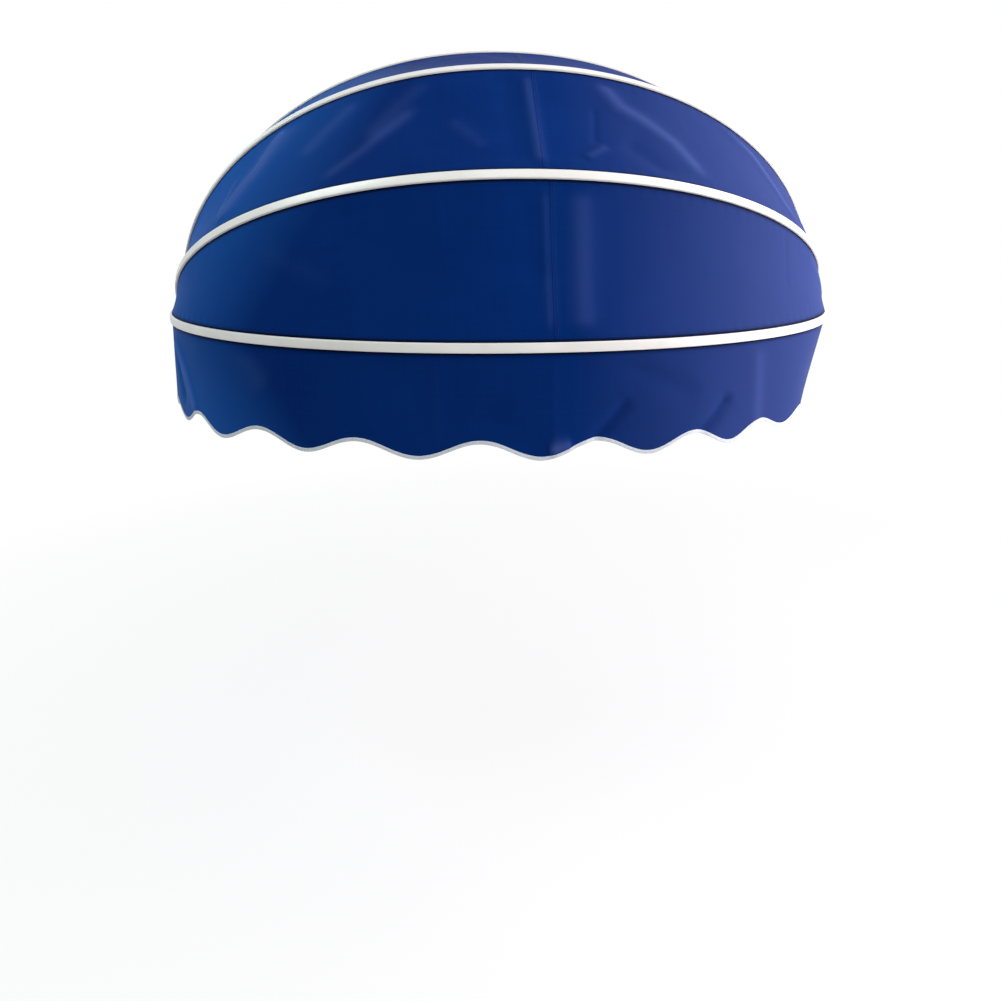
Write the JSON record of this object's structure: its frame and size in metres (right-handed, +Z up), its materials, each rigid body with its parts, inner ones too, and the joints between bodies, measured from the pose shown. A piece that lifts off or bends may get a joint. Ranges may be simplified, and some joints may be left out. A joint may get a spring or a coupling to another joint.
{
  "type": "retractable basket awning",
  "caption": "Half-dome window awning: nested white hoops fold on side pivots, with blue fabric gores between them and a scalloped valance below.",
  "frame": {"origin": "on the wall plane, midway between the two hinge brackets, at the height of the pivot axis", "axes": "+X to the right seen from in front, along the pivot axis; -Y out from the wall; +Z up"},
  "size_m": [2.0184, 0.8408, 1.0351],
  "materials": {
    "white_profile": "white powder coat on aluminium, satin",
    "white_fitting": "white powder coat, satin",
    "zinc_steel": "zinc-plated steel, satin",
    "grey_nylon": "moulded grey nylon",
    "canopy_cloth": "royal blue coated awning fabric, fine plain weave",
    "binding_tape": "pale grey-white woven binding tape"
  },
  "bodies": {
    "root": {"wall_hoop": "white_profile", "wall_hinge_left": "white_fitting", "wall_hinge_right": "white_fitting", "wall_rivet_left": "zinc_steel", "wall_rivet_right": "zinc_steel", "hinge_bracket_left": "white_fitting", "hinge_bracket_right": "white_fitting", "pivot_pin_left": "zinc_steel", "pivot_pin_right": "zinc_steel", "inner_washer_left": "zinc_steel", "inner_washer_right": "zinc_steel", "upper_spacer_left": "grey_nylon", "upper_spacer_right": "grey_nylon", "lower_spacer_left": "grey_nylon", "lower_spacer_right": "grey_nylon", "front_spacer_left": "grey_nylon", "front_spacer_right": "grey_nylon", "outer_washer_left": "zinc_steel", "outer_washer_right": "zinc_steel", "cap_nut_left": "zinc_steel", "cap_nut_right": "zinc_steel", "wall_clip_left": "white_fitting", "wall_clip_right": "white_fitting", "clip_rivet_left": "zinc_steel", "clip_rivet_right": "zinc_steel", "crown_bracket": "white_fitting", "crown_rivet": "zinc_steel", "pulley_axle": "zinc_steel", "canopy_rear": "canopy_cloth"},
    "upper": {"upper_hoop": "white_profile", "upper_hinge_left": "white_fitting", "upper_hinge_right": "white_fitting", "upper_rivet_left": "zinc_steel", "upper_rivet_right": "zinc_steel", "upper_cord_eye": "zinc_steel", "canopy_middle": "canopy_cloth"},
    "lower": {"lower_hoop": "white_profile", "lower_hinge_left": "white_fitting", "lower_hinge_right": "white_fitting", "lower_rivet_left": "zinc_steel", "lower_rivet_right": "zinc_steel", "lower_cord_eye": "zinc_steel", "canopy_front": "canopy_cloth"},
    "front": {"front_hoop": "white_profile", "front_hinge_left": "white_fitting", "front_hinge_right": "white_fitting", "front_rivet_left": "zinc_steel", "front_rivet_right": "zinc_steel", "front_cord_eye": "zinc_steel", "valance": "canopy_cloth", "hem_binding": "binding_tape"},
    "pulley": {"pulley_sheave": "grey_nylon"}
  },
  "joints": [
    {"name": "upper_fold", "type": "hinge", "parent": "root", "child": "upper", "pos_m": [0, -0.03, 0], "axis": [-1, 0, 0], "range_deg": [0, 28], "deforming": ["canopy_rear"]},
    {"name": "lower_fold", "type": "hinge", "parent": "upper", "child": "lower", "pos_m": [0, -0.03, 0], "axis": [-1, 0, 0], "range_deg": [0, 28], "deforming": ["canopy_middle"]},
    {"name": "front_fold", "type": "hinge", "parent": "lower", "child": "front", "pos_m": [0, -0.03, 0], "axis": [-1, 0, 0], "range_deg": [0, 28], "deforming": ["canopy_front"]},
    {"name": "pulley_spin", "type": "hinge", "parent": "root", "child": "pulley", "pos_m": [0, -0.029, 0.69747], "axis": [1, 0, 0], "continuous": true}
  ],
  "couplings": [
    {"joint": "lower_fold", "follows": "upper_fold", "ratio": 1},
    {"joint": "front_fold", "follows": "upper_fold", "ratio": 1}
  ]
}
